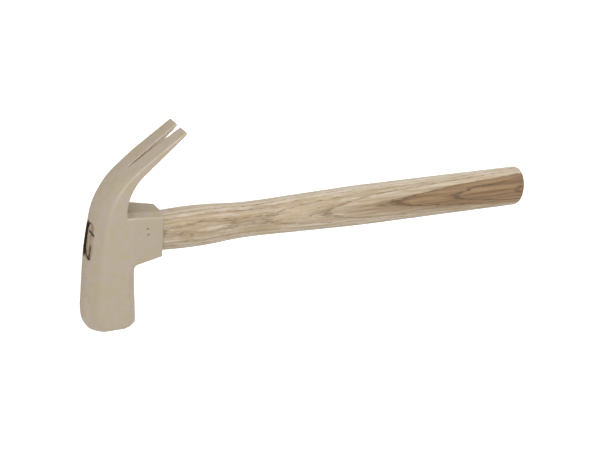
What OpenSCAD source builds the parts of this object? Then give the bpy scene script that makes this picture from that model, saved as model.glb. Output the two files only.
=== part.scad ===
// Claw hammer lying on its side: a bronze head on an ash handle, held by a wooden wedge
// and a metal cross wedge. +X runs from the head to the butt, +Y to the claw tips and +Z
// up from the bench. The origin is on the bench, under the crossing of the handle's axis
// and the striking axis.

/* [Overall] */
// Length from the back of the head to the end of the butt
overall_l = 328; // [260:1:420]
// Width of the head across its two cheeks
head_w = 28; // [24:0.5:36]

/* [Poll] */
// Drop from the handle's axis to the striking face
face_drop = 62; // [48:0.5:80]
// Depth of the poll at the striking face
face_d = 33.2; // [28:0.1:40]
// Lean of the poll's front, so that it flares towards the face, in degrees
front_lean = 3; // [0:0.5:5]
// Lean of the poll's back, in degrees
back_lean = 2.2; // [0:0.1:4]
// Width of the corner chamfers on the poll
poll_chamfer = 5.6; // [3:0.1:7]
// Bevel round the striking face
face_bevel = 3; // [0.5:0.1:3]

/* [Claw] */
// Rise from the handle's axis to the claw tips
tip_rise = 71; // [64:0.5:90]
// Thickness of the claw at its tips
tip_t = 2.2; // [1.2:0.1:4]
// Slope of the claw's top, in degrees above the handle's axis
claw_slope = 36.5; // [30:0.5:42]
// How much steeper the claw's underside is, in degrees
claw_taper = 5.5; // [4:0.1:9]
// Radius of the shoulder on the back of the head
shoulder_r = 44; // [36:0.5:48]
// Radius of the bend under the claw
underside_r = 33; // [24:0.5:38]
// Distance from the striking axis to the claw's root above the neck
root_reach = 7.2; // [6:0.1:10]
// Length of the V slot, measured along the claw's top
slot_l = 41; // [30:0.5:46]
// Width of the V slot between the tips
slot_tip_w = 6.4; // [5:0.1:9]
// Width of the V slot at its root
slot_root_w = 1; // [0.6:0.1:2]

/* [Neck] */
// Distance from the striking axis to the end of the neck
neck_reach = 32.5; // [28:0.5:40]
// Height of the neck's flat cheeks at its end
neck_cheek_h = 27; // [25:0.5:33]
// Full height of the neck at its end
neck_h = 32.5; // [28:0.5:38]
// Width of the neck at its end
neck_w = 22; // [19:0.5:24]
// Width of the flat along the neck's top and bottom
neck_flat_w = 12; // [6:0.5:14]
// Slope of the neck's top and bottom edges towards the handle, in degrees
neck_slope = 8; // [6:0.5:12]
// Radius of the hollow between the neck and the poll
neck_fillet = 4.5; // [3:0.5:8]

/* [Eye] */
// Height of the eye where it opens on the back of the head
eye_back_h = 24.4; // [23:0.1:28]
// Width of the eye where it opens on the back of the head
eye_back_w = 15; // [11:0.1:16]
// Drop of the eye's middle below the handle's axis where it opens on the back
eye_back_drop = 1.6; // [0:0.1:3]
// Height of the eye at the end of the neck
eye_front_h = 22; // [19:0.5:24]
// Width of the eye at the end of the neck
eye_front_w = 13; // [10:0.1:14.5]
// Gap all round between the tenon and the eye
eye_fit = 0.05; // [0.02:0.01:0.15]
// How far the tenon's end stays inside the back of the head
tenon_recess = 1.8; // [1:0.1:3]

/* [Handle] */
// Height of the handle against the neck
shoulder_h = 26.8; // [24:0.1:28]
// Width of the handle against the neck
shoulder_w = 20.4; // [18:0.1:22]
// Distance from the neck's end to the swell behind it
swell_run = 22; // [15:1:30]
// Height of the swell behind the neck
swell_h = 28.1; // [25:0.1:31]
// Width of the swell behind the neck
swell_w = 21; // [18:0.1:24]
// Distance from the neck's end to the waist
waist_run = 66; // [50:1:85]
// Height of the waist
waist_h = 24.2; // [20:0.1:26]
// Width of the waist
waist_w = 19; // [16:0.1:21]
// Distance from the neck's end to the fullest part of the grip
grip_run = 150; // [120:1:170]
// Height of the grip
grip_h = 28.4; // [25:0.1:33]
// Width of the grip
grip_w = 22.4; // [19:0.1:24]
// Height of the handle at the butt
butt_h = 28.8; // [25:0.1:33]
// Width of the handle at the butt
butt_w = 22; // [19:0.1:24]
// Radius of the rounded edge round the butt
butt_r = 6; // [2:0.5:7]

/* [Wedges] */
// Depth of the saw kerf in the tenon
kerf_depth = 30; // [24:0.5:34]
// Width of the kerf at the tenon's end, once the wedge has spread it
kerf_mouth_w = 3.2; // [2.4:0.1:4.5]
// Width of the kerf at its bottom
kerf_root_w = 1.2; // [0.8:0.1:1.6]
// Height of the wooden wedge
wood_wedge_h = 15; // [10:0.5:17]
// Depth that the wooden wedge reaches into the kerf
wood_wedge_depth = 26; // [18:0.5:29]
// Height of the cross wedge above the handle's axis
cross_rise = 3.4; // [1:0.1:5]
// Thickness of the metal cross wedge at its end
cross_t = 1.8; // [1.2:0.1:2.6]
// Thickness of the metal cross wedge at its point
cross_point_t = 0.5; // [0.3:0.1:0.8]
// Depth that the metal cross wedge reaches into the tenon
cross_depth = 18; // [12:0.5:22]
// Width of the metal cross wedge
cross_w = 11; // [8:0.1:12]
// Gap between a wedge and the wood that it is driven into
wedge_fit = 0.03; // [0.02:0.01:0.1]

/* [Hidden] */

half_w = head_w / 2;
mid_z = half_w;
// overlap that makes joined solids one, and cuts run past a face
run_past = 1;
// a slice thin enough to stand for a flat section in a hull
slice = 0.02;
// an edge break on the claw, where the corner chamfers have faded out
edge_break = 0.5;
round_fn = 32;
arc_steps = 14;
sway_steps = 4;
tine_steps = 5;
// how far up the poll its straight back and its straight front run, as shares of its drop
back_share = 2 / 3;
front_share = 0.63;
// share of the claw's length over which the corner chamfers fade out
fade_share = 0.35;
// largest share of a section's depth that one corner chamfer may take
corner_share = 0.3;

// ---- curves of the head's side view ----
function along(p, angle, l) = [p[0] + l * cos(angle), p[1] + l * sin(angle)];
function between(a, b, t) = a + (b - a) * t;
// end of an arc that starts at p heading at angle a and turns clockwise to angle b
function turned(p, r, a, b) = [p[0] + r * (sin(a) - sin(b)), p[1] + r * (cos(b) - cos(a))];
function arc(p, r, a, b, n) = [for (i = [1:n]) turned(p, r, a, a + (b - a) * i / n)];

// the back: a long lean, a slight sway behind the eye, the shoulder and the claw's top
back_foot = [-face_d / 2, -face_drop];
back_run = face_drop * back_share;
sway_r = 220;
sway_lean = 9;
sway_run = 9;
back_rise = 90 - back_lean;
sway_rise = 90 - sway_lean;
back_top = along(back_foot, back_rise, back_run);
sway_arc = arc(back_top, sway_r, back_rise, sway_rise, sway_steps);
sway_top = along(sway_arc[sway_steps - 1], sway_rise, sway_run);
shoulder_arc = arc(sway_top, shoulder_r, sway_rise, claw_slope, arc_steps);
claw_foot = shoulder_arc[arc_steps - 1];
claw_run = (tip_rise - claw_foot[1]) / sin(claw_slope);
tip_top = along(claw_foot, claw_slope, claw_run);

// the underside, worked back from the tips, and the line that it drops along to the poll
under_slope = claw_slope + claw_taper;
tip_rake = 100;
tip_under = along(tip_top, claw_slope - tip_rake, tip_t);
under_end_x = root_reach + underside_r * (1 - sin(under_slope));
under_end = [under_end_x, tip_under[1] - (tip_under[0] - under_end_x) * tan(under_slope)];
root_top = [root_reach, under_end[1] - underside_r * cos(under_slope)];
under_arc = arc(root_top, underside_r, 90, under_slope, arc_steps);
front_foot = [face_d / 2, -face_drop];
front_rise = 90 + front_lean;
front_run = face_drop * front_share;
front_top = along(front_foot, front_rise, front_run);

// each section of the head: [back point, front point, half width,
// half width of the back flat, half width of the front flat]
poll_flat = half_w - poll_chamfer;
full_flat = half_w - edge_break;
function inset(p, q, d) = p + (q - p) * d / norm(q - p);
face_section = [
    inset(back_foot, front_foot, face_bevel),
    inset(front_foot, back_foot, face_bevel),
    half_w - face_bevel,
    poll_flat - face_bevel,
    poll_flat - face_bevel
];
rim_section = [
    along(back_foot, back_rise, face_bevel),
    along(front_foot, front_rise, face_bevel),
    half_w,
    poll_flat,
    poll_flat
];
sway_sections = [
    for (i = [1:sway_steps])
        [sway_arc[i - 1], between(front_top, root_top, i / (sway_steps + 1)), half_w,
            poll_flat, full_flat]
];
shoulder_step = shoulder_r * (sway_rise - claw_slope) * PI / 180 / arc_steps;
fade_start = arc_steps / 2;
fade_run = claw_run * fade_share;
fade_l = fade_run + shoulder_step * (arc_steps - fade_start);
function faded(l) = min(full_flat, poll_flat + (full_flat - poll_flat) * max(0, l) / fade_l);
shoulder_sections = [
    for (i = [1:arc_steps])
        [shoulder_arc[i - 1], under_arc[i - 1], half_w, faded((i - fade_start) * shoulder_step),
            full_flat]
];
function claw_section(l) = [
    along(claw_foot, claw_slope, l),
    between(under_end, tip_under, l / claw_run),
    half_w,
    faded((arc_steps - fade_start) * shoulder_step + l),
    full_flat
];
claw_sections = [
    claw_section(fade_run),
    for (i = [1:tine_steps]) claw_section(fade_run + (claw_run - fade_run) * i / tine_steps)
];
sections = concat(
    [face_section, rim_section, [back_top, front_top, half_w, poll_flat, poll_flat]],
    sway_sections,
    [[sway_top, root_top, half_w, poll_flat, full_flat]],
    shoulder_sections,
    claw_sections
);

// the eight corners of one section, in order round it
function corners(s) =
    let (
        b = s[0],
        f = s[1],
        w = s[2],
        deepest = norm(f - b) * corner_share,
        bd = min(w - s[3], deepest),
        fd = min(w - s[4], deepest),
        bi = inset(b, f, bd),
        fi = inset(f, b, fd)
    )
    [
        [b[0], b[1], mid_z + s[3]],
        [b[0], b[1], mid_z - s[3]],
        [bi[0], bi[1], mid_z - w],
        [fi[0], fi[1], mid_z - w],
        [f[0], f[1], mid_z - s[4]],
        [f[0], f[1], mid_z + s[4]],
        [fi[0], fi[1], mid_z + w],
        [bi[0], bi[1], mid_z + w]
    ];

// a closed skin over rings of equal length, its first and last ring capped
module skin(rings) {
    n = len(rings[0]);
    last = len(rings) - 1;
    sides = [
        for (k = [0:last - 1], i = [0:n - 1])
            let (a = k * n + i, b = k * n + (i + 1) % n)
            each [[a, b, a + n], [b, b + n, a + n]]
    ];
    low_cap = [for (i = [1:n - 2]) [0, i + 1, i]];
    high_cap = [for (i = [1:n - 2]) [last * n, last * n + i, last * n + i + 1]];
    polyhedron([for (r = rings) each r], concat(low_cap, sides, high_cap));
}

// ---- head ----
neck_end_low = [neck_reach, neck_cheek_h / 2];
neck_root_x = 12;
neck_rise = tan(neck_slope) * (neck_reach - neck_root_x);

// an eight-sided slice of the neck, standing across the handle's axis
module neck_slice(x, cheek_h, full_h, w, flat_w, l) {
    translate([x, 0, mid_z])
        rotate([90, 0, 90])
            linear_extrude(l)
                polygon([
                    [-full_h / 2, -flat_w / 2],
                    [-full_h / 2, flat_w / 2],
                    [-cheek_h / 2, w / 2],
                    [cheek_h / 2, w / 2],
                    [full_h / 2, flat_w / 2],
                    [full_h / 2, -flat_w / 2],
                    [cheek_h / 2, -w / 2],
                    [-cheek_h / 2, -w / 2]
                ]);
}

module neck() {
    root_l = neck_root_x + run_past;
    hull() {
        neck_slice(neck_root_x - root_l, neck_cheek_h + 2 * neck_rise, neck_h + 2 * neck_rise,
            head_w, neck_flat_w + head_w - neck_w, root_l);
        neck_slice(neck_reach - slice, neck_cheek_h, neck_h, neck_w, neck_flat_w, slice);
    }
}

// the hollow between the poll's front and the neck's underside: both lines start at its
// corner, the first going down the poll and the second out along the neck
function under_y(x) = -neck_h / 2 - (neck_reach - x) * tan(neck_slope);
function front_x(y) = face_d / 2 - (y + face_drop) * tan(front_lean);

module neck_hollow() {
    corner_x = front_x(under_y(front_x(-neck_h / 2)));
    corner = [corner_x, under_y(corner_x)];
    down = [cos(front_rise + 180), sin(front_rise + 180)];
    out = [cos(neck_slope), sin(neck_slope)];
    half_angle = (neck_slope + 180 - front_rise) / 2;
    tangent_l = neck_fillet / tan(half_angle);
    centre = corner + (down + out) / norm(down + out) * neck_fillet / sin(half_angle);
    low = corner + down * tangent_l;
    far = corner + out * tangent_l;
    translate([0, 0, mid_z])
        linear_extrude(2 * poll_flat, center = true)
            difference() {
                polygon([low - out, low, far, far - down, corner - down - out]);
                translate(centre)
                    circle(neck_fillet, $fn = 2 * round_fn);
            }
}

// the eye's section: straight sides and round ends, tapering along the handle's axis and
// dropping a little towards the back
function eye_share(x) = (neck_reach - x) / (neck_reach - sway_top[0]);
function eye_h(x) = eye_front_h + (eye_back_h - eye_front_h) * eye_share(x);
function eye_w(x) = eye_front_w + (eye_back_w - eye_front_w) * eye_share(x);
function eye_y(x) = -eye_back_drop * eye_share(x);
function eye_top(x) = eye_y(x) + eye_h(x) / 2;

module eye_slice(x, gap) {
    r = eye_w(x) / 2 - gap;
    reach = eye_h(x) / 2 - gap - r;
    translate([x, eye_y(x), mid_z])
        rotate([90, 0, 90])
            linear_extrude(slice, center = true)
                for (side = [-1, 1])
                    translate([side * reach, 0])
                        circle(r, $fn = round_fn);
}

module eye_space(from_x, to_x, gap) {
    hull() {
        eye_slice(from_x, gap);
        eye_slice(to_x, gap);
    }
}

module nail_slot() {
    past = 6;
    inward = 18;
    root = along(tip_top, claw_slope, -slot_l);
    spread = (slot_tip_w - slot_root_w) / 2 / slot_l;
    translate([root[0], root[1], mid_z])
        rotate([90, 0, claw_slope])
            translate([0, 0, -past])
                linear_extrude(past + inward)
                    union() {
                        circle(slot_root_w / 2, $fn = round_fn);
                        polygon([
                            [0, -slot_root_w / 2],
                            [slot_l + past, -slot_root_w / 2 - spread * (slot_l + past)],
                            [slot_l + past, slot_root_w / 2 + spread * (slot_l + past)],
                            [0, slot_root_w / 2]
                        ]);
                    }
}

module head() {
    color([0.73, 0.68, 0.6])
        difference() {
            union() {
                skin([for (s = sections) corners(s)]);
                neck();
                neck_hollow();
            }
            eye_space(back_foot[0] - run_past, neck_reach + run_past, 0);
            nail_slot();
        }
}

// ---- handle ----
butt_x = overall_l - face_d / 2;
tenon_end_x = sway_arc[sway_steps - 1][0] + tenon_recess;
section_steps = 28;
run_steps = 6;
butt_steps = 5;
// angle through which the butt's rounded edge turns before its flat end
butt_turn = 80;
// wood left between the wooden wedge and the eye's upper end
wedge_margin = 1;

// stations along the handle: [x, height, width]
stations = [
    [neck_reach, shoulder_h, shoulder_w],
    [neck_reach + swell_run, swell_h, swell_w],
    [neck_reach + waist_run, waist_h, waist_w],
    [neck_reach + grip_run, grip_h, grip_w],
    [butt_x - butt_r, butt_h, butt_w]
];
function eased(t) = (1 - cos(180 * t)) / 2;
function station(k, t) = [
    stations[k][0] + (stations[k + 1][0] - stations[k][0]) * t,
    stations[k][1] + (stations[k + 1][1] - stations[k][1]) * eased(t),
    stations[k][2] + (stations[k + 1][2] - stations[k][2]) * eased(t)
];
function oval(x, h, w) = [
    for (i = [0:section_steps - 1])
        let (a = -360 * i / section_steps)
        [x, h / 2 * cos(a), mid_z + w / 2 * sin(a)]
];
handle_rings = concat(
    [
        for (k = [0:len(stations) - 2], i = [0:run_steps - 1])
            let (s = station(k, i / run_steps))
            oval(s[0], s[1], s[2])
    ],
    [
        for (i = [0:butt_steps])
            let (a = butt_turn * i / butt_steps, lost = 2 * butt_r * (1 - cos(a)))
            oval(butt_x - butt_r + butt_r * sin(a) / sin(butt_turn), butt_h - lost, butt_w - lost)
    ]
);

// a tapered blade driven along +X from the tenon's end, thick across +Y or +Z
module blade(depth, t0, t1, w, gap) {
    translate([tenon_end_x, 0, 0])
        linear_extrude(w - 2 * gap, center = true)
            polygon([
                [0, -t0 / 2 + gap],
                [depth, -t1 / 2 + gap],
                [depth, t1 / 2 - gap],
                [0, t0 / 2 - gap]
            ]);
}

function kerf_t(depth) = kerf_mouth_w + (kerf_root_w - kerf_mouth_w) * depth / kerf_depth;
function cross_t_at(depth) = cross_t + (cross_point_t - cross_t) * depth / cross_depth;

module kerf() {
    translate([0, 0, mid_z])
        rotate([90, 0, 0]) {
            blade(kerf_depth, kerf_mouth_w, kerf_root_w, 2 * eye_back_h, 0);
            translate([-run_past, 0, 0])
                blade(run_past * 2, kerf_t(0), kerf_t(run_past), 2 * eye_back_h, 0);
        }
}

wedge_point_x = tenon_end_x + wood_wedge_depth;
wedge_top_y = min(eye_top(tenon_end_x), eye_top(wedge_point_x)) - wedge_margin;
wood_wedge_y = wedge_top_y - wood_wedge_h / 2;

module wedge_body(gap) {
    translate([0, wood_wedge_y, mid_z])
        rotate([90, 0, 0])
            blade(wood_wedge_depth, kerf_t(0), kerf_t(wood_wedge_depth), wood_wedge_h, gap);
}

module cross_body(gap) {
    translate([0, cross_rise, mid_z])
        blade(cross_depth - 2 * gap, cross_t, cross_point_t, cross_w, gap);
}

module handle() {
    color([0.77, 0.69, 0.56])
        difference() {
            union() {
                skin(handle_rings);
                eye_space(tenon_end_x, neck_reach + run_past, eye_fit);
            }
            kerf();
            cross_body(-wedge_fit);
            translate([-run_past, 0, 0])
                cross_body(-wedge_fit);
        }
}

module wood_wedge() {
    color([0.6, 0.48, 0.34])
        difference() {
            wedge_body(wedge_fit);
            cross_body(-wedge_fit);
            translate([-run_past, 0, 0])
                cross_body(-wedge_fit);
        }
}

module cross_wedge() {
    color([0.66, 0.6, 0.52])
        cross_body(0);
}

head();
handle();
wood_wedge();
cross_wedge();
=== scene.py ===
# %% [markdown]
# # A claw hammer
#
# A bronze claw hammer lies on one cheek of its head. The frame holds its four pieces at
# their real size: a head, an ash handle, a wooden wedge and a thin metal wedge. The head
# and the handle are rebuilt here as dense meshes with soft edges, and every piece gets a
# finish worked out from noise, rings and distances, so nothing is read from a picture.

# %% Load the frame
import math

import bmesh
import bpy
import numpy as np
from mathutils import Matrix, Vector, noise


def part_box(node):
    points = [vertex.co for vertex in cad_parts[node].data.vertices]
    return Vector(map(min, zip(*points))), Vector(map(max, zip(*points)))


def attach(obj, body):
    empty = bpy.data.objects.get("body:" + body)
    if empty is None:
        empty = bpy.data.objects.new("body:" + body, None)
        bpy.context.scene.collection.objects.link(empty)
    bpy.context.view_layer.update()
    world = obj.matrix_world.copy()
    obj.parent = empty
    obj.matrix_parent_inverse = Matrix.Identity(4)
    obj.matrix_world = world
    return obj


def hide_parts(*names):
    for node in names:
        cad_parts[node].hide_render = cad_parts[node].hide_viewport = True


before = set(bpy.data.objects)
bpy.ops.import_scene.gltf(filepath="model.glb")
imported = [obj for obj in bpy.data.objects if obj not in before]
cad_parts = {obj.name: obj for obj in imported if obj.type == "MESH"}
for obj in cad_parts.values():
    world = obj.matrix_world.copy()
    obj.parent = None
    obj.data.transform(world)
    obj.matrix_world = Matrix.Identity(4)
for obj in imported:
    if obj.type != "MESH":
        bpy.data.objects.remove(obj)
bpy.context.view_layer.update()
MM = 0.001
BODY = "root"
scene = bpy.context.scene
print("nodes:", sorted(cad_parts))

# %% [markdown]
# ## Camera
#
# The hammer is seen across its back corner: from the head's end, from the claw's side and
# from above the cheek that lies uppermost. The view is turned so that the claw points up
# the picture. A long lens keeps the near cheek and the far butt at nearly one scale.

# %% Camera
HEAD_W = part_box("head")[1].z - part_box("head")[0].z
MID_Z = HEAD_W / 2
view_from = Vector((-0.4300, 0.3930, 0.8128)).normalized()
picture_up = Vector((0.1170, 0.9170, -0.3820))
aim = Vector((136.06 * MM, -9.41 * MM, MID_Z - 0.1 * MM))
view_distance = 1.0127
lens_mm = 90

camera_data = bpy.data.cameras.new("camera")
camera_data.lens = lens_mm
camera_data.sensor_width = 36
camera_data.clip_start = 0.01
camera_data.clip_end = 50
camera = bpy.data.objects.new("camera", camera_data)
scene.collection.objects.link(camera)
side = picture_up.cross(view_from).normalized()
up = view_from.cross(side).normalized()
turn = Matrix((side, up, view_from)).transposed().to_4x4()
camera.matrix_world = Matrix.Translation(aim + view_from * view_distance) @ turn
scene.camera = camera
print("camera at", [round(v, 3) for v in camera.location])

# %% [markdown]
# ## Floor and light
#
# A light table is the plainest studio there is: a white floor that glows a little, a white
# surround, and one wide soft lamp. Only the camera sees the glow, so it lights nothing, but
# it keeps the shadow under the hammer faint. The lamp gives the round of the handle and the
# bevels of the head something to turn from.

# %% Floor and light
def linked(name, data):
    thing = bpy.data.objects.new(name, data)
    scene.collection.objects.link(thing)
    return thing


def new_material(name):
    made = bpy.data.materials.new(name)
    made.use_nodes = True
    return made, made.node_tree, made.node_tree.nodes["Principled BSDF"]


floor_mesh = bpy.data.meshes.new("floor")
floor_half = 6.0
floor_mesh.from_pydata(
    [(-floor_half, -floor_half, 0), (floor_half, -floor_half, 0),
     (floor_half, floor_half, 0), (-floor_half, floor_half, 0)],
    [], [(0, 1, 2, 3)])
floor = linked("floor", floor_mesh)
floor_paint, floor_tree, floor_shader = new_material("floor_white")
floor_shader.inputs["Base Color"].default_value = (0.81, 0.81, 0.81, 1)
floor_shader.inputs["Roughness"].default_value = 0.9
floor_shader.inputs["Specular IOR Level"].default_value = 0.1
floor_shader.inputs["Emission Color"].default_value = (1, 1, 1, 1)
floor_glow = 0.75
seen = floor_tree.nodes.new("ShaderNodeLightPath").outputs["Is Camera Ray"]
glow = floor_tree.nodes.new("ShaderNodeMath")
glow.operation = "MULTIPLY"
glow.inputs[1].default_value = floor_glow
floor_tree.links.new(seen, glow.inputs[0])
floor_tree.links.new(glow.outputs[0], floor_shader.inputs["Emission Strength"])
floor_mesh.materials.append(floor_paint)

world = bpy.data.worlds.new("surround")
world.use_nodes = True
world.node_tree.nodes["Background"].inputs["Color"].default_value = (1, 1, 1, 1)
world.node_tree.nodes["Background"].inputs["Strength"].default_value = 0.98
scene.world = world


def soft_lamp(name, place, target, size, watts):
    data = bpy.data.lights.new(name, "AREA")
    data.shape = "SQUARE"
    data.size = size
    data.energy = watts
    lamp = linked(name, data)
    way = (Vector(target) - Vector(place)).normalized()
    lamp.matrix_world = (Matrix.Translation(place)
                         @ way.to_track_quat("-Z", "Y").to_matrix().to_4x4())
    return lamp


soft_lamp("key", place=(0.1, 0.9, 1.3), target=(0.12, 0, 0), size=1.2, watts=12)
scene.view_settings.view_transform = "Standard"
scene.view_settings.look = "None"

# %% [markdown]
# ## Small tools for node trees
#
# Every finish and the handle's own shape are node trees. Six short helpers keep them
# readable: one places a node, one gives a socket either a link or a plain value, two do
# sums on numbers and on vectors, and two take a vector apart and join it again.

# %% Small tools for node trees
def put(tree, kind, **settings):
    made = tree.nodes.new(kind)
    for name, value in settings.items():
        setattr(made, name, value)
    return made


def feed(tree, socket, value):
    if isinstance(value, bpy.types.NodeSocket):
        tree.links.new(value, socket)
    else:
        socket.default_value = value


def maths(tree, operation, *values):
    made = put(tree, "ShaderNodeMath", operation=operation)
    for socket, value in zip(made.inputs, values):
        feed(tree, socket, value)
    return made.outputs[0]


def vector_maths(tree, operation, *values):
    made = put(tree, "ShaderNodeVectorMath", operation=operation)
    for socket, value in zip(made.inputs, values):
        feed(tree, socket, value)
    return made.outputs[1] if operation == "LENGTH" else made.outputs[0]


def split(tree, vector):
    made = put(tree, "ShaderNodeSeparateXYZ")
    feed(tree, made.inputs[0], vector)
    return made.outputs


def joined(tree, x, y, z):
    made = put(tree, "ShaderNodeCombineXYZ")
    for socket, value in zip(made.inputs, (x, y, z)):
        feed(tree, socket, value)
    return made.outputs[0]


# %% [markdown]
# ## Turning modifiers into plain meshes
#
# Modifiers shape each piece, and the result is then kept as a plain mesh, so that what is
# seen is the mesh itself. A mesh from the frame is loose triangles, so a copy of it is
# merged before anything else is done to it.

# %% Turning modifiers into plain meshes
def settled(piece):
    finished = piece.evaluated_get(bpy.context.evaluated_depsgraph_get())
    mesh = bpy.data.meshes.new_from_object(finished)
    piece.modifiers.clear()
    piece.data = mesh
    return piece


def merged_copy(node_name, name):
    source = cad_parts[node_name]
    work = bmesh.new()
    work.from_mesh(source.data)
    bmesh.ops.remove_doubles(work, verts=work.verts, dist=0.001 * MM)
    mesh = bpy.data.meshes.new(name)
    work.to_mesh(mesh)
    work.free()
    return linked(name, mesh)


def numbers(items, field, width, kind=float):
    found = np.empty(len(items) * width, dtype=kind)
    items.foreach_get(field, found)
    return found.reshape(-1, width)


# %% [markdown]
# ## The head
#
# The head is one bronze casting: an octagonal poll, an eye, a neck and a split claw. Its
# edges were rounded by blasting and polishing. Bevels on so many slanting faces would
# tangle, so the solid is filled with half-millimetre voxels instead, and the skin of those
# is relaxed. Flats stay flat and every edge gets a radius of about a millimetre.

# %% Head: voxel skin
head_piece = merged_copy("head", "hammer_head")
skin = head_piece.modifiers.new("skin", "REMESH")
skin.mode = "VOXEL"
skin.voxel_size = 0.5 * MM
skin.use_smooth_shade = True
relax = head_piece.modifiers.new("relax", "SMOOTH")
relax.factor = 0.5
relax.iterations = 9
settled(head_piece)
print("head:", len(head_piece.data.polygons), "faces")

# %% [markdown]
# ## Blending the chamfers
#
# In two places the casting is ground over until its edges all but vanish: where the
# chamfers of the back meet the cheeks, and at the back corner of the striking face. The
# rest of that face's rim is only eased. Each point gets a share that says how near such an
# edge it is, and points with a share are moved towards the middle of their neighbours,
# round after round. Sizes are in millimetres.

# %% Blending the chamfers
def blend_points(mesh, share, rounds):
    points = numbers(mesh.vertices, "co", 3)
    a, b = numbers(mesh.edges, "vertices", 2, int).T
    both, other = np.concatenate([a, b]), np.concatenate([b, a])
    count = np.maximum(np.bincount(both, minlength=len(points)), 1)
    pull = 0.6
    step = (share * pull)[:, None]
    for _ in range(rounds):
        around = np.stack([np.bincount(both, points[other, k], minlength=len(points))
                           for k in range(3)], axis=1) / count[:, None]
        points += (around - points) * step
    mesh.vertices.foreach_set("co", points.ravel())
    mesh.update()


def eased(values, start, end):
    part = np.clip((values - start) / (end - start), 0, 1)
    return part * part * (3 - 2 * part)


points = numbers(head_piece.data.vertices, "co", 3) / MM
x, y, off = points[:, 0], points[:, 1], np.abs(points[:, 2] - MID_Z / MM)
cheek_depth, row_half = 0.4, 1.5
on_cheek = off > MID_Z / MM - cheek_depth
rows = np.arange(-60, 60, 2.0)
cheek_back = [x[on_cheek & (np.abs(y - row) < row_half)].min() for row in rows]
cheek_back = np.interp(y, rows, cheek_back)
blend_reach = 3.2
claw_fade = (22, 44)
flat_to_chamfer = (9.5, 11.5)
chamfer_rounds, rim_rounds, corner_rounds = 90, 4, 140
near_back = 1 - eased(np.abs(x - cheek_back), 0, blend_reach)
near_back *= 1 - eased(y, *claw_fade)
chamfers = near_back * eased(off, *flat_to_chamfer)
blend_points(head_piece.data, chamfers, chamfer_rounds)

face_y, back_x = y.min(), x.min()
rim = 1 - eased(y, face_y + 4, face_y + 9)
blend_points(head_piece.data, rim, rim_rounds)
corner = (1 - eased(y, face_y + 4, face_y + 13)) * (1 - eased(x, back_x + 4, back_x + 12))
blend_points(head_piece.data, corner, corner_rounds)
print("points blended:", int((chamfers > 0).sum()), "and", int((corner > 0).sum()))

# %% [markdown]
# ## Punch marks
#
# A maker proves a casting with a punch: two small dimples in the upper cheek of the neck.
# The skin is too coarse for a mark one millimetre across, so the faces round the marks are
# divided first, and their points are then pressed in along a smooth bowl.

# %% Punch marks
marks = [Vector((21.3, 7.6, 27)) * MM, Vector((22.0, 3.6, 27)) * MM]
mark_radius = 0.9 * MM
mark_depth = 0.55 * MM
work = bmesh.new()
work.from_mesh(head_piece.data)
for _ in range(2):
    near = [
        edge for edge in work.edges
        if min((edge.verts[0].co - mark).length for mark in marks) < mark_radius * 2
    ]
    bmesh.ops.subdivide_edges(work, edges=near, cuts=1, use_grid_fill=True)
bmesh.ops.triangulate(work, faces=[face for face in work.faces if len(face.verts) > 4])
pressed = 0
for vert in work.verts:
    for mark in marks:
        off = math.hypot(vert.co.x - mark.x, vert.co.y - mark.y) / mark_radius
        if off < 1 and vert.co.z > MID_Z:
            vert.co.z -= mark_depth * (1 + math.cos(math.pi * off)) / 2
            pressed += 1
work.to_mesh(head_piece.data)
work.free()
print("points pressed in by the punch:", pressed)

# %% [markdown]
# ## Where edges rub and where shadows sit
#
# Handling brightens an edge, and a hollow is where shade sits, which a finish paints darker
# as shade. How far a point stands out from its neighbours tells one from the other, so this
# is measured once on the finished mesh and kept on its points as two numbers between 0
# and 1, which every finish can read.

# %% Edges and hollows
def measure_edges(piece, full_radius, spread):
    mesh = piece.data
    points = numbers(mesh.vertices, "co", 3)
    facing = numbers(mesh.vertices, "normal", 3)
    a, b = numbers(mesh.edges, "vertices", 2, int).T
    step = points[b] - points[a]
    reach = (step ** 2).sum(1)
    both = np.concatenate([a, b])
    bend = np.concatenate([-(facing[a] * step).sum(1), (facing[b] * step).sum(1)])
    bend = 2 * bend / np.maximum(np.concatenate([reach, reach]), 1e-14)
    count = np.maximum(np.bincount(both, minlength=len(points)), 1)
    value = np.bincount(both, bend, minlength=len(points)) / count
    for _ in range(spread):
        around = np.bincount(both, value[np.concatenate([b, a])], minlength=len(points))
        value = (value + around / count) / 2
    for name, sign in (("edge", 1), ("hollow", -1)):
        kept = mesh.attributes.new(name, "FLOAT", "POINT")
        kept.data.foreach_set("value", np.clip(sign * value * full_radius, 0, 1))
    print(piece.name, "mean edge", round(float(np.clip(value * full_radius, 0, 1).mean()), 3))


measure_edges(head_piece, full_radius=1.5 * MM, spread=3)
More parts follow.
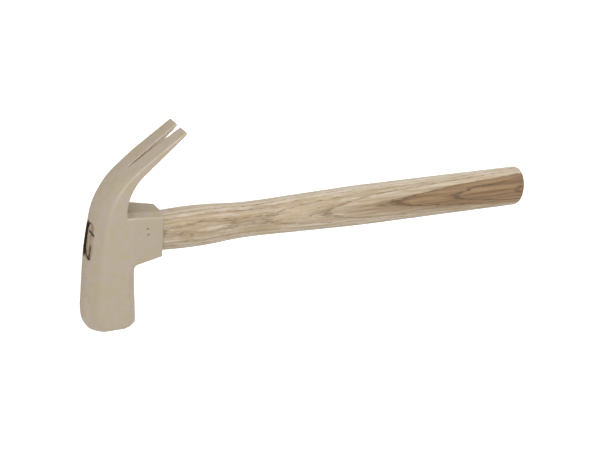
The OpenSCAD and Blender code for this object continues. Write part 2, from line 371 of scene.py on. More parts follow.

# %% [markdown]
# ## The eye's inner wall
#
# Inside the eye the wall is painted near-black brown as shade, so that the eye looks deep,
# and it is made rougher. Its wall is known from the eye's own sizes, so each point within it
# is marked, fading in just behind the mouth. The painted shade also reaches a little over
# the lip nearest the bench, and a trace of it is laid in the punch marks.

# %% The eye's inner wall
NECK_END = 32.5 * MM
EYE_BACK_X = -11.06 * MM
EYE_BACK = (24.4 * MM, 15 * MM)
EYE_FRONT = (22 * MM, 13 * MM)
EYE_DROP = 1.6 * MM
wall_margin = 0.3 * MM
fade_in = 1.2 * MM
points = numbers(head_piece.data.vertices, "co", 3)
share = np.clip((points[:, 0] - EYE_BACK_X) / (NECK_END - EYE_BACK_X), 0, 1)
eye_h = EYE_BACK[0] + (EYE_FRONT[0] - EYE_BACK[0]) * share
eye_w = EYE_BACK[1] + (EYE_FRONT[1] - EYE_BACK[1]) * share
eye_y = -EYE_DROP * (1 - share)
past_middle = np.maximum(np.abs(points[:, 1] - eye_y) - (eye_h - eye_w) / 2, 0)
from_middle = np.hypot(past_middle, points[:, 2] - MID_Z)
back_x = np.interp(points[:, 1] / MM, [-14, 5, 13], [-14.6, -12.5, -11.3]) * MM
behind = np.clip((points[:, 0] - back_x - wall_margin) / fade_in, 0, 1)
# Painted shade: near the bench the dark is carried a little over the eye's lower lip.
lip_shade = eased(MID_Z - points[:, 2], 3 * MM, 6 * MM)
lip_reach = 1.7 * MM
reach = wall_margin + lip_reach * lip_shade
# Painted shade: points on the eye's inner wall are marked to be painted near-black.
eye_and_mark_shade = np.where(from_middle < eye_w / 2 + reach, np.maximum(behind, lip_shade), 0)
# Painted shade: a share of the same dark is laid in the punch marks.
mark_shade_share = 0.3
for mark in marks:
    off = np.hypot(points[:, 0] - mark.x, points[:, 1] - mark.y) / mark_radius
    mark_shade = mark_shade_share * (1 - eased(off, 0.4, 1.3)) * (points[:, 2] > MID_Z)
    eye_and_mark_shade = np.maximum(eye_and_mark_shade, mark_shade)
kept = head_piece.data.attributes.new("eye_and_mark_shade_mask", "FLOAT", "POINT")
kept.data.foreach_set("value", eye_and_mark_shade)
print("points on the eye's wall:", int((eye_and_mark_shade > 0).sum()))

# %% [markdown]
# ## The handle
#
# A handle is shaped by rule: at each station along it a spokeshave leaves an oval of some
# height and width. Geometry Nodes can follow that rule. A cylinder of one unit is laid
# along the handle, two curves through the stations give its height and width, and the last
# few rings turn in to round the butt. Sanding leaves it uneven by a tenth of a millimetre.

# %% Handle: a tree that shapes a cylinder
def shaping_tree(stations, tallest):
    tree = bpy.data.node_groups.new("shaped_handle", "GeometryNodeTree")
    wanted = [("Shoulder X", "NodeSocketFloat"), ("Butt X", "NodeSocketFloat"),
              ("Butt Radius", "NodeSocketFloat"), ("Axis Height", "NodeSocketFloat"),
              ("Sanding", "NodeSocketFloat"), ("Rings", "NodeSocketInt"),
              ("Points Round", "NodeSocketInt"), ("Wood", "NodeSocketMaterial")]
    for label, kind in wanted:
        tree.interface.new_socket(label, in_out="INPUT", socket_type=kind)
    tree.interface.new_socket("Geometry", in_out="OUTPUT", socket_type="NodeSocketGeometry")
    given = put(tree, "NodeGroupInput").outputs
    body_share, butt_turn = 0.955, math.radians(80)
    shoulder_tuck = 0.8 * MM
    waver_scale = (40.0, 110.0, 110.0)

    blank = put(tree, "GeometryNodeMeshCylinder", fill_type="TRIANGLE_FAN")
    feed(tree, blank.inputs["Vertices"], given["Points Round"])
    feed(tree, blank.inputs["Side Segments"], given["Rings"])
    feed(tree, blank.inputs["Fill Segments"], 8)
    feed(tree, blank.inputs["Radius"], 1.0)
    feed(tree, blank.inputs["Depth"], 1.0)

    px, py, pz = split(tree, put(tree, "GeometryNodeInputPosition").outputs[0])
    along = maths(tree, "ADD", pz, 0.5)
    on_body = maths(tree, "MINIMUM", maths(tree, "DIVIDE", along, body_share), 1.0)
    past_body = maths(tree, "MAXIMUM", maths(tree, "SUBTRACT", along, body_share), 0.0)
    turned = maths(tree, "MULTIPLY", past_body, butt_turn / (1 - body_share))
    radius = given["Butt Radius"]
    straight = maths(tree, "SUBTRACT", maths(tree, "SUBTRACT", given["Butt X"], radius),
                     given["Shoulder X"])
    run = maths(tree, "MULTIPLY", straight, on_body)
    rounding = maths(tree, "MULTIPLY", maths(tree, "SINE", turned), radius)
    rounding = maths(tree, "DIVIDE", rounding, math.sin(butt_turn))
    x = maths(tree, "ADD", maths(tree, "ADD", given["Shoulder X"], run), rounding)
    lost = maths(tree, "SUBTRACT", 1.0, maths(tree, "COSINE", turned))
    lost = maths(tree, "MULTIPLY", maths(tree, "MULTIPLY", lost, radius), 2.0)
    first_ring = maths(tree, "MULTIPLY", along, given["Rings"])
    first_ring = maths(tree, "MAXIMUM", maths(tree, "SUBTRACT", 1.0, first_ring), 0.0)
    lost = maths(tree, "ADD", lost, maths(tree, "MULTIPLY", first_ring, shoulder_tuck))

    def station_curve(column):
        made = put(tree, "ShaderNodeFloatCurve")
        feed(tree, made.inputs["Value"], on_body)
        curve = made.mapping.curves[0]
        first, last = stations[0][0], stations[-1][0]
        for row in stations[1:-1]:
            curve.points.new((row[0] - first) / (last - first), row[column] / tallest)
        curve.points[0].location = (0, stations[0][column] / tallest)
        curve.points[len(stations) - 1].location = (1, stations[-1][column] / tallest)
        for point in curve.points:
            point.handle_type = "AUTO_CLAMPED"
        made.mapping.update()
        size = maths(tree, "MULTIPLY", made.outputs[0], tallest * MM)
        return maths(tree, "SUBTRACT", size, lost)

    y = maths(tree, "MULTIPLY", px, maths(tree, "MULTIPLY", station_curve(1), 0.5))
    z = maths(tree, "MULTIPLY", py, maths(tree, "MULTIPLY", station_curve(2), 0.5))
    z = maths(tree, "ADD", z, given["Axis Height"])
    shaped = put(tree, "GeometryNodeSetPosition")
    feed(tree, shaped.inputs["Geometry"], blank.outputs["Mesh"])
    feed(tree, shaped.inputs["Position"], joined(tree, x, y, z))

    waver = put(tree, "ShaderNodeTexNoise")
    stretched = vector_maths(tree, "MULTIPLY", put(tree, "GeometryNodeInputPosition").outputs[0],
                             waver_scale)
    feed(tree, waver.inputs["Vector"], stretched)
    feed(tree, waver.inputs["Scale"], 1.0)
    depth = maths(tree, "MULTIPLY", waver.outputs[0], given["Sanding"])
    inward = maths(tree, "MULTIPLY", depth, -1.0)
    facing = put(tree, "GeometryNodeInputNormal").outputs[0]
    push = put(tree, "ShaderNodeVectorMath", operation="SCALE")
    feed(tree, push.inputs[0], facing)
    feed(tree, push.inputs["Scale"], inward)
    sanded = put(tree, "GeometryNodeSetPosition")
    feed(tree, sanded.inputs["Geometry"], shaped.outputs[0])
    feed(tree, sanded.inputs["Offset"], push.outputs[0])

    smooth = put(tree, "GeometryNodeSetShadeSmooth")
    feed(tree, smooth.inputs[0], sanded.outputs[0])
    real = put(tree, "GeometryNodeRealizeInstances")
    feed(tree, real.inputs[0], smooth.outputs[0])
    coated = put(tree, "GeometryNodeSetMaterial")
    feed(tree, coated.inputs["Geometry"], real.outputs[0])
    feed(tree, coated.inputs["Material"], given["Wood"])
    feed(tree, put(tree, "NodeGroupOutput").inputs[0], coated.outputs[0])
    return tree


def set_inputs(modifier, values):
    found = {item.name: item.identifier for item in modifier.node_group.interface.items_tree
             if item.in_out == "INPUT"}
    for name, value in values.items():
        modifier[found[name]] = value


# %% [markdown]
# The stations are the maker's table: how far from the neck, how high, how wide, in
# millimetres. The tree runs once and its result becomes the handle's plain mesh.

# %% Handle: the shaped blank
ash, ash_tree, ash_shader = new_material("ash")
STATIONS = [(0, 27, 20.4), (22, 28.4, 21), (66, 24.6, 19), (99.5, 26.2, 20.2),
            (150, 28.6, 22.4), (272.9, 28.8, 22)]
BUTT_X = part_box("handle")[1].x
handle_piece = linked("hammer_handle", bpy.data.meshes.new("blank"))
shaping = handle_piece.modifiers.new("shaping", "NODES")
shaping.node_group = shaping_tree(STATIONS, 30)
set_inputs(shaping, {
    "Shoulder X": NECK_END, "Butt X": BUTT_X, "Butt Radius": 5.2 * MM, "Axis Height": MID_Z,
    "Sanding": 0.15 * MM, "Rings": 300, "Points Round": 96, "Wood": ash,
})
settled(handle_piece)
print("handle:", len(handle_piece.data.polygons), "faces, ends at",
      round(max(v.co.x for v in handle_piece.data.vertices) / MM, 2), "mm")

# %% [markdown]
# ## The tenon and its cuts
#
# The handle's tenon fills the eye. It is a second solid, straight-sided with round ends,
# that tapers with the eye and has its end broken by a small chamfer. A boolean joins it to
# the blank and two more cut the kerf and the slit for the cross wedge, as a saw and a
# chisel would. The tenon runs a millimetre into the blank, and both cutters start a
# millimetre outside the tenon's end.

# %% Tenon, kerf and slit
def lofted(name, rings):
    work = bmesh.new()
    loops = [[work.verts.new(point) for point in ring] for ring in rings]
    count = len(loops[0])
    for low, high in zip(loops, loops[1:]):
        for i in range(count):
            j = (i + 1) % count
            work.faces.new((low[i], low[j], high[j], high[i]))
    work.faces.new(loops[0][::-1])
    work.faces.new(loops[-1])
    bmesh.ops.recalc_face_normals(work, faces=work.faces)
    mesh = bpy.data.meshes.new(name)
    work.to_mesh(mesh)
    work.free()
    return linked(name, mesh)


def stadium(x, y_middle, height, width):
    ring = []
    radius = width / 2
    steps = 24
    for side_sign in (1, -1):
        for i in range(steps + 1):
            angle = math.pi * i / steps
            y = y_middle + side_sign * (height / 2 - radius + radius * math.sin(angle))
            z = side_sign * radius * math.cos(angle)
            ring.append((x, y, MID_Z + z))
    return ring


def eye_at(x, gap):
    part = (x - EYE_BACK_X) / (NECK_END - EYE_BACK_X)
    sizes = [a + (b - a) * part - 2 * gap for a, b in zip(EYE_BACK, EYE_FRONT)]
    return [x, -EYE_DROP * (1 - part)] + sizes


def blade(name, x0, depth, t0, t1, low, high, thick_axis):
    corners = []
    for x, t in ((x0, t0), (x0 + depth, t1)):
        for across, side_sign in ((low, -1), (high, -1), (high, 1), (low, 1)):
            if thick_axis == "Z":
                corners.append((x, across, MID_Z + side_sign * t / 2))
            else:
                corners.append((x, cross_y + side_sign * t / 2, across))
    return lofted(name, [corners[:4], corners[4:]])


TENON_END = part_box("handle")[0].x
cross_y = 3.4 * MM
tenon_gap = 0.06 * MM
chamfer = 0.35 * MM
run_past = 1 * MM
tenon = lofted("tenon", [
    stadium(*eye_at(TENON_END, tenon_gap + chamfer)),
    stadium(*eye_at(TENON_END + chamfer, tenon_gap)),
    stadium(*eye_at(NECK_END + run_past, tenon_gap)),
])
tenon.data.materials.append(ash)
kerf_depth, kerf_mouth, kerf_root, kerf_half = 30 * MM, 3.27 * MM, 1.2 * MM, 20 * MM
slit_depth, slit_mouth, slit_root, slit_half = 18.1 * MM, 1.93 * MM, 0.5 * MM, 5.6 * MM
kerf = blade("kerf", TENON_END - run_past, run_past + kerf_depth, kerf_mouth, kerf_root,
             -kerf_half, kerf_half, "Z")
slit = blade("slit", TENON_END - run_past, run_past + slit_depth, slit_mouth, slit_root,
             MID_Z - slit_half, MID_Z + slit_half, "Y")
for tool, operation in ((tenon, "UNION"), (kerf, "DIFFERENCE"), (slit, "DIFFERENCE")):
    cut = handle_piece.modifiers.new(tool.name, "BOOLEAN")
    cut.object = tool
    cut.operation = operation
    cut.solver = "EXACT"
settled(handle_piece)
for tool in (tenon, kerf, slit):
    bpy.data.objects.remove(tool)
for face in handle_piece.data.polygons:
    face.use_smooth = True
handle_piece.data.set_sharp_from_angle(angle=math.radians(38))
measure_edges(handle_piece, full_radius=2 * MM, spread=2)
print("handle with tenon:", len(handle_piece.data.polygons), "faces")

# %% [markdown]
# ## The two wedges
#
# One wooden wedge spreads the tenon along its kerf, and a thin metal wedge is driven
# across both. They are small and sit inside the eye, so they keep their solids' shapes,
# with broken corners and with ends bruised by the hammer that drove them. The tenon and
# the wedges are trimmed together, parallel to the slanting back of the head: the trim's
# place on the axis is in millimetres, and its slant is a run per rise.

# %% The two wedges
TRIM_AT_AXIS, TRIM_SLANT = -11.7, 0.118


def trim_to_back(piece):
    end_zone = 1 * MM
    for vert in piece.data.vertices:
        wanted = TRIM_AT_AXIS * MM + TRIM_SLANT * vert.co.y
        if vert.co.x < TENON_END + end_zone:
            vert.co.x += min(wanted - TENON_END, 0)
    piece.data.update()


def driven_wedge(node_name, name, corner, bruise):
    piece = merged_copy(node_name, name)
    soften = piece.modifiers.new("corners", "BEVEL")
    soften.width = corner
    soften.segments = 2
    soften.limit_method = "ANGLE"
    settled(piece)
    work = bmesh.new()
    work.from_mesh(piece.data)
    end_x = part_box(node_name)[0].x
    ends = [face for face in work.faces if face.normal.x < -0.9]
    rims = list({edge for face in ends for edge in face.edges})
    bmesh.ops.subdivide_edges(work, edges=rims, cuts=9, use_grid_fill=True)
    bmesh.ops.triangulate(work, faces=[face for face in work.faces if len(face.verts) > 4])
    at_end, wide_dent, small_dent = 0.05 * MM, 1.3 * MM, 0.5 * MM
    for vert in work.verts:
        if vert.co.x < end_x + at_end:
            dent = noise.noise(vert.co / wide_dent) + noise.noise(vert.co / small_dent) / 2
            vert.co.x += bruise * min(max(dent + 0.4, 0), 1)
    work.to_mesh(piece.data)
    work.free()
    measure_edges(piece, full_radius=0.6 * MM, spread=1)
    trim_to_back(piece)
    return piece


trim_to_back(handle_piece)
wood_wedge_piece = driven_wedge("wood_wedge", "wooden_wedge",
                                corner=0.12 * MM, bruise=0.35 * MM)
metal_wedge_piece = driven_wedge("cross_wedge", "metal_wedge",
                                 corner=0.15 * MM, bruise=0.12 * MM)

# %% [markdown]
# ## Effects that several finishes share
#
# Bronze and the metal wedge share a cast skin, and ash and the wooden wedge share growth
# rings and fibres. All four share rubbed edges. Each effect is a node group with named
# sockets, made once and placed in each finish with its own values. The groups work in
# millimetres, so their sizes can be read straight off.

# %% Tools for the groups
def new_group(name, inputs, outputs):
    group = bpy.data.node_groups.new(name, "ShaderNodeTree")
    for label, kind, value in inputs:
        socket = group.interface.new_socket(label, in_out="INPUT", socket_type=kind)
        if value is not None:
            socket.default_value = value
    for label in outputs:
        group.interface.new_socket(label, in_out="OUTPUT", socket_type="NodeSocketFloat")
    return group, put(group, "NodeGroupInput").outputs, put(group, "NodeGroupOutput").inputs


def use_group(tree, group, **values):
    made = put(tree, "ShaderNodeGroup", node_tree=group)
    for name, value in values.items():
        feed(tree, made.inputs[name.replace("_", " ")], value)
    return made.outputs


def cloud(tree, vector, scale, detail=2.0, roughness=0.5):
    made = put(tree, "ShaderNodeTexNoise")
    feed(tree, made.inputs["Vector"], vector)
    made.inputs["Scale"].default_value = scale
    made.inputs["Detail"].default_value = detail
    made.inputs["Roughness"].default_value = roughness
    return made.outputs[0]


def faded(tree, value, start, end, low=0.0, high=1.0):
    made = put(tree, "ShaderNodeMapRange", interpolation_type="SMOOTHSTEP")
    for name, given in (("Value", value), ("From Min", start), ("From Max", end),
                        ("To Min", low), ("To Max", high)):
        feed(tree, made.inputs[name], given)
    return made.outputs[0]


def mixed(tree, share, low, high):
    made = put(tree, "ShaderNodeMix", data_type="RGBA")
    feed(tree, made.inputs[0], share)
    feed(tree, made.inputs[6], low)
    feed(tree, made.inputs[7], high)
    return made.outputs[2]


def kept_number(tree, name):
    return put(tree, "ShaderNodeAttribute", attribute_name=name).outputs["Fac"]


FLOAT, VECTOR = "NodeSocketFloat", "NodeSocketVector"

# %% [markdown]
# Growth rings are cylinders round the tree's pith. The pith bends a little, so a ring that
# runs almost level with the surface comes out of it in long pointed arches. The group gives
# how far a point is from the pith, how far it is through its ring, the ring's number and
# tint, and broad patches that run along the wood. A share of fibre noise is added to the
# distance, which makes the arches ragged.

# %% Group: growth rings
rings_group, given, out = new_group(
    "growth_rings",
    [("Vector", VECTOR, None), ("Bend", FLOAT, 0.0), ("Slope", FLOAT, 0.0),
     ("Ring Width", FLOAT, 2.0), ("First Ring", FLOAT, 0.0), ("Wander", FLOAT, 1.0),
     ("Ragged", FLOAT, 0.4)],
    ["Distance", "Through", "Number", "Tint", "Patch"])
broad_scale, fine_scale = (0.018, 0.07, 0.07), (0.09, 1.1, 1.1)
patch_scale = (0.052, 0.17, 0.17)
x, y, z = split(rings_group, given["Vector"])
bent = maths(rings_group, "MULTIPLY", maths(rings_group, "MULTIPLY", x, x), given["Bend"])
leaned = maths(rings_group, "MULTIPLY", x, given["Slope"])
depth = maths(rings_group, "ADD", z, maths(rings_group, "ADD", bent, leaned))
distance = vector_maths(rings_group, "LENGTH", joined(rings_group, 0.0, y, depth))
broad = vector_maths(rings_group, "MULTIPLY", given["Vector"], broad_scale)
fine = vector_maths(rings_group, "MULTIPLY", given["Vector"], fine_scale)
broad = maths(rings_group, "SUBTRACT", cloud(rings_group, broad, 1.0, 2.0), 0.5)
fine = maths(rings_group, "SUBTRACT", cloud(rings_group, fine, 1.0, 3.0, 0.6), 0.5)
patch = vector_maths(rings_group, "MULTIPLY", given["Vector"], patch_scale)
feed(rings_group, out["Patch"],
     faded(rings_group, cloud(rings_group, patch, 1.0, 4.0, 0.65), 0.40, 0.58))
distance = maths(rings_group, "ADD", distance,
                 maths(rings_group, "MULTIPLY", broad, given["Wander"]))
distance = maths(rings_group, "ADD", distance,
                 maths(rings_group, "MULTIPLY", fine, given["Ragged"]))
turns = maths(rings_group, "SUBTRACT", distance, given["First Ring"])
turns = maths(rings_group, "DIVIDE", turns, given["Ring Width"])
uneven = put(rings_group, "ShaderNodeTexNoise", noise_dimensions="1D")
feed(rings_group, uneven.inputs["W"], maths(rings_group, "MULTIPLY", distance, 0.21))
uneven.inputs["Scale"].default_value = 1.0
turns = maths(rings_group, "ADD", turns,
              maths(rings_group, "MULTIPLY", uneven.outputs[0], 0.7))
feed(rings_group, out["Distance"], distance)
feed(rings_group, out["Through"], maths(rings_group, "FRACT", turns))
ring_no = put(rings_group, "ShaderNodeTexWhiteNoise", noise_dimensions="1D")
number = maths(rings_group, "FLOOR", turns)
feed(rings_group, out["Number"], number)
feed(rings_group, ring_no.inputs["W"], number)
feed(rings_group, out["Tint"], ring_no.outputs["Value"])

# %% [markdown]
# Fibres are noise drawn out along the wood. Two sizes of streak give the fine lines, and
# the darkest parts of a third, narrower noise are the open pores that mark ash.

# %% Group: wood fibres
fibres_group, given, out = new_group(
    "wood_fibres",
    [("Vector", VECTOR, None), ("Length", FLOAT, 40.0), ("Width", FLOAT, 1.0)],
    ["Streak", "Fine", "Pores"])
x, y, z = split(fibres_group, given["Vector"])
across_y = maths(fibres_group, "DIVIDE", y, given["Width"])
across_z = maths(fibres_group, "DIVIDE", z, given["Width"])
lengthways = maths(fibres_group, "DIVIDE", x, given["Length"])
drawn = joined(fibres_group, lengthways, across_y, across_z)
feed(fibres_group, out["Streak"], cloud(fibres_group, drawn, 0.45, 3.0, 0.6))
feed(fibres_group, out["Fine"], cloud(fibres_group, drawn, 1.9, 2.0, 0.55))
dashes = joined(fibres_group, maths(fibres_group, "MULTIPLY", lengthways, 5.0),
                maths(fibres_group, "MULTIPLY", across_y, 2.2),
                maths(fibres_group, "MULTIPLY", across_z, 2.2))
feed(fibres_group, out["Pores"],
     faded(fibres_group, cloud(fibres_group, dashes, 1.0, 1.0), 0.56, 0.68))

# %% [markdown]
# A blasted casting is covered in fine pits. Broad soft patches, where the alloy set a
# little pinker or yellower, lie under them. The group gives both, and a height for bump.

# %% Group: cast skin
skin_group, given, out = new_group(
    "cast_skin",
    [("Vector", VECTOR, None), ("Patch Size", FLOAT, 9.0), ("Pit Size", FLOAT, 0.5)],
    ["Patches", "Speckle", "Height"])
patch_at = put(skin_group, "ShaderNodeVectorMath", operation="SCALE")
feed(skin_group, patch_at.inputs[0], given["Vector"])
feed(skin_group, patch_at.inputs["Scale"], maths(skin_group, "DIVIDE", 1.0, given["Patch Size"]))
pit_at = put(skin_group, "ShaderNodeVectorMath", operation="SCALE")
feed(skin_group, pit_at.inputs[0], given["Vector"])
feed(skin_group, pit_at.inputs["Scale"], maths(skin_group, "DIVIDE", 1.0, given["Pit Size"]))
pits = cloud(skin_group, pit_at.outputs[0], 1.0, 3.0, 0.6)
feed(skin_group, out["Patches"],
     faded(skin_group, cloud(skin_group, patch_at.outputs[0], 1.0, 4.0, 0.6), 0.36, 0.64))
feed(skin_group, out["Speckle"], faded(skin_group, pits, 0.3, 0.7))
feed(skin_group, out["Height"], pits)

# %% [markdown]
# Rubbed edges come from the number kept on the points, broken up by a little noise, so
# that no edge is worn evenly along its length. Hollows come from its twin.

# %% Group: rubbed edges
rubbed_group, given, out = new_group(
    "rubbed_edges",
    [("Vector", VECTOR, None), ("Start", FLOAT, 0.25), ("Full", FLOAT, 0.75),
     ("Broken", FLOAT, 0.35)],
    ["Edge", "Hollow"])
breaks = maths(rubbed_group, "SUBTRACT", cloud(rubbed_group, given["Vector"], 0.5, 3.0), 0.5)
uneven = maths(rubbed_group, "MULTIPLY", breaks, given["Broken"])
worn = maths(rubbed_group, "ADD", kept_number(rubbed_group, "edge"), uneven)
feed(rubbed_group, out["Edge"], faded(rubbed_group, worn, given["Start"], given["Full"]))
feed(rubbed_group, out["Hollow"],
     faded(rubbed_group, kept_number(rubbed_group, "hollow"), 0.1, 0.8))


def place_in_mm(tree):
    place = put(tree, "ShaderNodeTexCoord").outputs["Object"]
    return vector_maths(tree, "MULTIPLY", place, (1 / MM, 1 / MM, 1 / MM))


def bumped(tree, shader, height, reach, strength):
    made = put(tree, "ShaderNodeBump")
    made.inputs["Distance"].default_value = reach
    made.inputs["Strength"].default_value = strength
    feed(tree, made.inputs["Height"], height)
    feed(tree, shader.inputs["Normal"], made.outputs[0])


# %% [markdown]
# ## Finish: blasted bronze
#
# Aluminium bronze is a pale gold, and blasting turns its shine into an even satin. The
# colour wanders between a pinker and a yellower tone. Edges are a little paler and rougher
# where the grit ran over them. Hollows are painted browner as shade, and the eye's wall is
# painted near-black as shade and made rougher.

# %% Finish: blasted bronze
pinker, yellower = (0.492, 0.416, 0.350, 1), (0.480, 0.416, 0.305, 1)
# The second colour here is painted shade for hollows.
pit_brown, hollow_shade_brown = (0.300, 0.245, 0.170, 1), (0.240, 0.195, 0.135, 1)
# The second colour here is painted shade for the eye's wall, its lower lip and the punch marks.
pale_edge, eye_shade_colour = (0.580, 0.510, 0.410, 1), (0.042, 0.030, 0.015, 1)
bronze, tree, shader = new_material("blasted_bronze")
place = place_in_mm(tree)
cast = use_group(tree, skin_group, Vector=place, Patch_Size=8.0, Pit_Size=0.45)
rubbed = use_group(tree, rubbed_group, Vector=place, Start=0.2, Full=0.8, Broken=0.3)
colour = mixed(tree, cast["Patches"], pinker, yellower)
speckle = maths(tree, "MULTIPLY", cast["Speckle"], 0.12)
colour = mixed(tree, speckle, colour, pit_brown)
# Painted shade: hollows are darkened towards brown.
hollow_shade = maths(tree, "MULTIPLY", rubbed["Hollow"], 0.35)
colour = mixed(tree, hollow_shade, colour, hollow_shade_brown)
pale = maths(tree, "MULTIPLY", rubbed["Edge"], 0.16)
colour = mixed(tree, pale, colour, pale_edge)
# Painted shade: the eye's wall, its lower lip and the punch marks turn near-black.
eye_and_mark_shade_share = kept_number(tree, "eye_and_mark_shade_mask")
colour = mixed(tree, maths(tree, "MULTIPLY", eye_and_mark_shade_share, 0.95), colour, eye_shade_colour)
feed(tree, shader.inputs["Base Color"], colour)
rough = faded(tree, cast["Patches"], 0.0, 1.0, 0.50, 0.56)
rough = maths(tree, "ADD", rough, maths(tree, "MULTIPLY", rubbed["Edge"], 0.14))
rough = maths(tree, "ADD", rough, maths(tree, "MULTIPLY", eye_and_mark_shade_share, 0.25))
feed(tree, shader.inputs["Roughness"], rough)
shader.inputs["Metallic"].default_value = 1.0
bumped(tree, shader, cast["Height"], reach=0.03 * MM, strength=0.5)

# %% [markdown]
# ## Finish: ash
#
# Ash is ring-porous: each year begins with a band of open pores and ends in dense smooth
# wood. The oldest rings are brown, and their stain has crept further out on the striking
# face's side. Round them, and in patches, the wood is golden, and towards the claw's side
# it turns to cream. The pattern is solid, so the same rings that make arches on the side
# of the handle make arcs on the end of its tenon. A Mapping node sets the pith some 50 mm
# above the handle as it lies. Inside the eye, a millimetre from the tenon's end, the wood
# is painted nearly black as shade, so that the gaps look deep.

# %% Finish: ash
sap_pale, sap_deep = (0.600, 0.530, 0.445, 1), (0.405, 0.330, 0.248, 1)
gold_pale, gold_deep = (0.470, 0.380, 0.240, 1), (0.330, 0.245, 0.140, 1)
brown_pale, brown_deep = (0.265, 0.162, 0.079, 1), (0.125, 0.067, 0.028, 1)
cream, ring_tan = (0.640, 0.585, 0.485, 1), (0.360, 0.265, 0.155, 1)
early_brown, ring_line = (0.270, 0.185, 0.105, 1), (0.088, 0.053, 0.028, 1)
fibre_brown, pore_brown = (0.170, 0.112, 0.065, 1), (0.130, 0.080, 0.045, 1)
# The second colour here is painted shade for the gaps inside the eye.
worn_brown, gap_shade_colour = (0.230, 0.155, 0.095, 1), (0.030, 0.020, 0.012, 1)
place = place_in_mm(ash_tree)
pith = put(ash_tree, "ShaderNodeMapping", vector_type="TEXTURE")
pith_lean = math.radians(-25.8)
pith_away = 49.9
pith_aside = -13.0
pith_level_x = 40
pith.inputs["Location"].default_value = (
    pith_level_x,
    -math.sin(pith_lean) * pith_away + math.cos(pith_lean) * pith_aside,
    MID_Z / MM + math.cos(pith_lean) * pith_away + math.sin(pith_lean) * pith_aside)
pith.inputs["Rotation"].default_value = (pith_lean, 0, 0)
feed(ash_tree, pith.inputs["Vector"], place)
tree_place = pith.outputs[0]
rings = use_group(ash_tree, rings_group, Vector=tree_place, Bend=0.000104, Slope=0.0082,
                  Ring_Width=2.4, First_Ring=34.87, Wander=2.4, Ragged=0.9)
fibres = use_group(ash_tree, fibres_group, Vector=place, Length=26.0, Width=0.9)
rubbed = use_group(ash_tree, rubbed_group, Vector=place, Start=0.3, Full=0.9, Broken=0.4)
along, upright, _ = split(ash_tree, place)
end_face = maths(ash_tree, "ADD", maths(ash_tree, "MULTIPLY", upright, TRIM_SLANT),
                 TRIM_AT_AXIS)
# Painted shade: inside the eye, from a millimetre behind the tenon's end, the wood darkens.
gap_shade_share = faded(ash_tree, maths(ash_tree, "SUBTRACT", along, end_face), 0.5, 1.3)
gap_shade_share = maths(ash_tree, "MULTIPLY", gap_shade_share,
               maths(ash_tree, "LESS_THAN", along, NECK_END / MM - 1))
early = faded(ash_tree, rings["Through"], 0.0, 0.5, 1.0, 0.0)
line = faded(ash_tree, rings["Through"], 0.02, 0.22, 1.0, 0.0)
off_pith = split(ash_tree, tree_place)[1]
stain = faded(ash_tree, rings["Distance"], 40.6, 35.6)
low_stain = maths(ash_tree, "MULTIPLY", stain, faded(ash_tree, off_pith, 16, 8, 0.0, 0.7))
heart_rings = faded(ash_tree, rings["Number"], 0.4, 0.6, 0.9, 0.0)
heart = maths(ash_tree, "MAXIMUM", heart_rings, low_stain)
streak = faded(ash_tree, fibres["Streak"], 0.32, 0.68)
sap = mixed(ash_tree, streak, sap_pale, sap_deep)
gold = mixed(ash_tree, streak, gold_pale, gold_deep)
golden = maths(ash_tree, "MULTIPLY", rings["Patch"], 0.75)
golden = maths(ash_tree, "MAXIMUM", golden, maths(ash_tree, "MULTIPLY", stain, 0.75))
sap = mixed(ash_tree, golden, sap, gold)
sap = mixed(ash_tree, faded(ash_tree, off_pith, 20, 25, 0.0, 0.6), sap, cream)
brown = mixed(ash_tree, streak, brown_pale, brown_deep)
colour = mixed(ash_tree, heart, sap, brown)
tinted = maths(ash_tree, "MULTIPLY", faded(ash_tree, rings["Tint"], 0.0, 1.0, 0.0, 0.35),
               faded(ash_tree, heart, 0.0, 1.0, 1.0, 0.2))
colour = mixed(ash_tree, tinted, colour, ring_tan)
band = maths(ash_tree, "MULTIPLY", early, faded(ash_tree, stain, 0.0, 0.6, 0.14, 0.30))
colour = mixed(ash_tree, band, colour, early_brown)
dark_line = maths(ash_tree, "MULTIPLY", line, faded(ash_tree, stain, 0.0, 0.8, 0.28, 0.92))
colour = mixed(ash_tree, dark_line, colour, ring_line)
fine = faded(ash_tree, fibres["Fine"], 0.35, 0.65, 0.0, 0.24)
colour = mixed(ash_tree, fine, colour, fibre_brown)
pores = maths(ash_tree, "MULTIPLY", fibres["Pores"],
              faded(ash_tree, early, 0.0, 0.8, 0.15, 0.75))
colour = mixed(ash_tree, pores, colour, pore_brown)
colour = mixed(ash_tree, maths(ash_tree, "MULTIPLY", rubbed["Edge"], 0.5), colour, worn_brown)
# Painted shade: the wood in the eye's gaps is painted nearly black.
colour = mixed(ash_tree, gap_shade_share, colour, gap_shade_colour)
feed(ash_tree, ash_shader.inputs["Base Color"], colour)
rough = maths(ash_tree, "ADD", 0.50, maths(ash_tree, "MULTIPLY", pores, 0.25))
rough = maths(ash_tree, "ADD", rough, maths(ash_tree, "MULTIPLY", early, 0.08))
feed(ash_tree, ash_shader.inputs["Roughness"], rough)
ash_shader.inputs["Specular IOR Level"].default_value = 0.25
height = maths(ash_tree, "SUBTRACT", fibres["Fine"], pores)
bumped(ash_tree, ash_shader, height, reach=0.06 * MM, strength=0.6)

# %% [markdown]
# ## Finish: the wooden wedge
#
# The wedge is a scrap of a denser, darker wood. It uses the same rings and fibres, set
# finer and closer, and its driven end is bruised and browned.

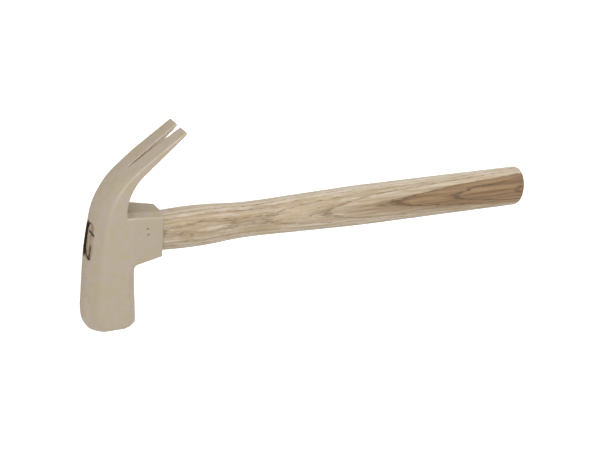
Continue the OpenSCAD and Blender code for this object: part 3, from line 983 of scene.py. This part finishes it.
# %% Finish: the wooden wedge
wedge_pale, wedge_deep = (0.420, 0.300, 0.200, 1), (0.300, 0.200, 0.125, 1)
wedge_ring, wedge_pore = (0.170, 0.105, 0.060, 1), (0.100, 0.060, 0.034, 1)
bruise_brown = (0.140, 0.088, 0.050, 1)
wedge_wood, tree, shader = new_material("wedge_wood")
place = place_in_mm(tree)
rings = use_group(tree, rings_group, Vector=place, Ring_Width=1.3, Wander=1.0, Ragged=0.4)
fibres = use_group(tree, fibres_group, Vector=place, Length=14.0, Width=0.5)
rubbed = use_group(tree, rubbed_group, Vector=place, Start=0.2, Full=0.8, Broken=0.4)
colour = mixed(tree, faded(tree, fibres["Streak"], 0.3, 0.7), wedge_pale, wedge_deep)
early = faded(tree, rings["Through"], 0.0, 0.4, 0.5, 0.0)
colour = mixed(tree, early, colour, wedge_ring)
colour = mixed(tree, maths(tree, "MULTIPLY", fibres["Pores"], 0.6), colour, wedge_pore)
colour = mixed(tree, maths(tree, "MULTIPLY", rubbed["Edge"], 0.6), colour, bruise_brown)
feed(tree, shader.inputs["Base Color"], colour)
feed(tree, shader.inputs["Roughness"], faded(tree, fibres["Fine"], 0.3, 0.7, 0.55, 0.75))
bumped(tree, shader, fibres["Fine"], reach=0.05 * MM, strength=0.7)

# %% [markdown]
# ## Finish: the metal wedge
#
# The cross wedge is a strip of brass, dulled by the blows and the glue on it. The cast
# skin group serves again, with smaller patches that are smeared brown.

# %% Finish: the metal wedge
brass_dull, brass_brown = (0.110, 0.080, 0.050, 1), (0.050, 0.036, 0.022, 1)
glue_brown, brass_edge = (0.070, 0.048, 0.030, 1), (0.200, 0.160, 0.100, 1)
wedge_metal, tree, shader = new_material("wedge_metal")
place = place_in_mm(tree)
cast = use_group(tree, skin_group, Vector=place, Patch_Size=1.6, Pit_Size=0.2)
rubbed = use_group(tree, rubbed_group, Vector=place, Start=0.2, Full=0.8, Broken=0.3)
colour = mixed(tree, cast["Patches"], brass_dull, brass_brown)
colour = mixed(tree, maths(tree, "MULTIPLY", cast["Speckle"], 0.25), colour, glue_brown)
colour = mixed(tree, maths(tree, "MULTIPLY", rubbed["Edge"], 0.5), colour, brass_edge)
feed(tree, shader.inputs["Base Color"], colour)
feed(tree, shader.inputs["Roughness"], faded(tree, cast["Patches"], 0.0, 1.0, 0.40, 0.62))
shader.inputs["Metallic"].default_value = 0.9
bumped(tree, shader, cast["Height"], reach=0.03 * MM, strength=0.6)

# %% [markdown]
# ## Putting the pieces in the frame
#
# Each detailed piece stands for its solid, takes its finish and rides on the one rigid
# body. Nothing may stick out of the hammer's own box, so each piece is first held to its
# solid's. Only the trimmed ends in the eye may stand a little past theirs, which still
# leaves them more than a millimetre inside the head's back.

# %% Putting the pieces in the frame
finishes = [
    (head_piece, "head", "head_bronze", bronze),
    (handle_piece, "handle", "handle_ash", ash),
    (wood_wedge_piece, "wood_wedge", "wedge_wood", wedge_wood),
    (metal_wedge_piece, "cross_wedge", "wedge_metal", wedge_metal),
]
room_in_eye = 3 * MM
for piece, node_name, slot_name, paint in finishes:
    trim_room = 0 if piece == head_piece else room_in_eye
    low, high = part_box(node_name)
    low = low - Vector((trim_room, 0, 0))
    for vert in piece.data.vertices:
        vert.co = [min(max(c, a), b) for c, a, b in zip(vert.co, low, high)]
    piece.data.materials.clear()
    piece.data.materials.append(paint)
    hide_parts(node_name)
    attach(piece, BODY)
    triangles = sum(len(face.vertices) - 2 for face in piece.data.polygons)
    print(piece.name, triangles, "triangles")
